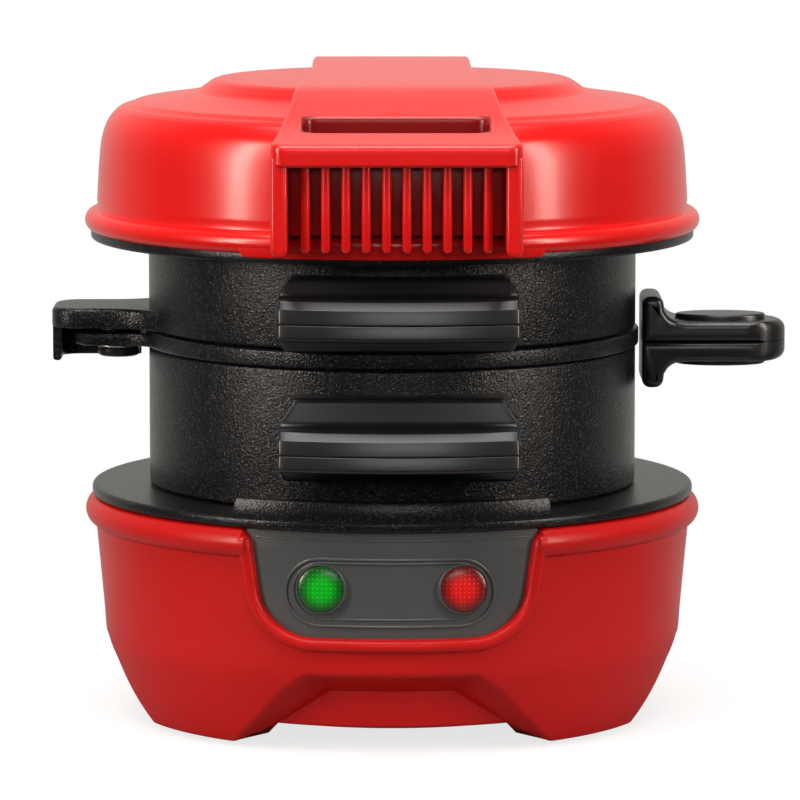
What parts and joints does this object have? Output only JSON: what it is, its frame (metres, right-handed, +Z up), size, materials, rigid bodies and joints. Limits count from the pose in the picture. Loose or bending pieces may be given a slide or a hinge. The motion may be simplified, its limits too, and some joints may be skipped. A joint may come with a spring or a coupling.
{
  "type": "breakfast sandwich maker",
  "caption": "Countertop sandwich cooker: two stacked cooking rings with a swing-out plate between two heated plates, under a hinged domed lid.",
  "frame": {"origin": "on the table, at the centre of the closed appliance's footprint", "axes": "+Z up; -Y towards the user, where the ring handles and the lamps are; +X to the user's right, where the swing-out plate's grip is"},
  "size_m": [0.1618, 0.156, 0.1436],
  "materials": {
    "red_shell": "gloss moulded red plastic",
    "grey_panel": "satin moulded grey plastic",
    "green_lens": "translucent green plastic",
    "red_lens": "translucent red plastic",
    "lamp_glass": "clear glass",
    "coated_aluminium": "cast aluminium under a black speckled non-stick coating",
    "black_plastic": "black heat-resistant plastic",
    "foot_rubber": "black rubber",
    "element_sheath": "heat-darkened steel tube",
    "lead_insulation": "glass-fibre sleeve",
    "fuse_body": "ceramic-like moulding",
    "terminal_plastic": "moulded plastic",
    "shield_steel": "bare sheet steel",
    "steel_hardware": "plated steel"
  },
  "bodies": {
    "base": {"base_shell": "red_shell", "front_panel": "grey_panel", "preheat_lens": "green_lens", "power_lens": "red_lens", "preheat_lamp": "lamp_glass", "power_lamp": "lamp_glass", "lamp_holder": "black_plastic", "lamp_screws": "steel_hardware", "lower_plate": "coated_aluminium", "lower_element": "element_sheath", "lower_element_clamp": "shield_steel", "lower_heat_shield": "shield_steel", "lower_inner_screws": "steel_hardware", "plate_screws": "steel_hardware", "thermostat": "fuse_body", "thermal_fuse": "fuse_body", "terminal_block": "terminal_plastic", "base_wiring": "lead_insulation", "bottom_cover": "black_plastic", "bottom_screws": "steel_hardware", "rubber_feet": "foot_rubber", "hinge_tower": "red_shell", "tower_screws": "steel_hardware", "hinge_pins": "steel_hardware", "cord_bushing": "black_plastic"},
    "lower_ring_body": {"lower_ring": "coated_aluminium", "lower_handle_top": "black_plastic", "lower_handle_bottom": "black_plastic", "lower_handle_screws": "steel_hardware"},
    "upper_ring_body": {"upper_ring": "coated_aluminium", "upper_handle_top": "black_plastic", "upper_handle_bottom": "black_plastic", "upper_handle_screws": "steel_hardware", "pivot_screw": "steel_hardware", "pivot_washer": "steel_hardware"},
    "swing_plate_body": {"swing_plate": "coated_aluminium", "swing_handle_top": "black_plastic", "swing_handle_bottom": "black_plastic", "swing_handle_screws": "steel_hardware"},
    "lid": {"lid_shell": "red_shell", "lid_handle": "red_shell", "handle_fins": "red_shell", "handle_screws": "steel_hardware", "upper_plate": "coated_aluminium", "upper_element": "element_sheath", "upper_element_clamp": "shield_steel", "upper_heat_shield": "shield_steel", "upper_inner_screws": "steel_hardware", "upper_plate_screws": "steel_hardware", "upper_fuse": "fuse_body", "lid_wiring": "lead_insulation", "lid_hinge_arm": "red_shell", "lid_hinge_screws": "steel_hardware"}
  },
  "joints": [
    {"name": "lower_ring_hinge", "type": "hinge", "parent": "base", "child": "lower_ring_body", "pos_m": [-0.0059, 0.072, 0.0935], "axis": [-1, 0, 0], "range_deg": [0, 25]},
    {"name": "upper_ring_hinge", "type": "hinge", "parent": "lower_ring_body", "child": "upper_ring_body", "pos_m": [-0.0059, 0.072, 0.0935], "axis": [-1, 0, 0], "range_deg": [0, 40]},
    {"name": "lid_hinge", "type": "hinge", "parent": "upper_ring_body", "child": "lid", "pos_m": [-0.0059, 0.072, 0.0935], "axis": [-1, 0, 0], "range_deg": [0, 95]},
    {"name": "plate_swing", "type": "hinge", "parent": "upper_ring_body", "child": "swing_plate_body", "pos_m": [-0.0664, -0.002, 0.084], "axis": [0, 0, -1], "range_deg": [0, 110]}
  ]
}
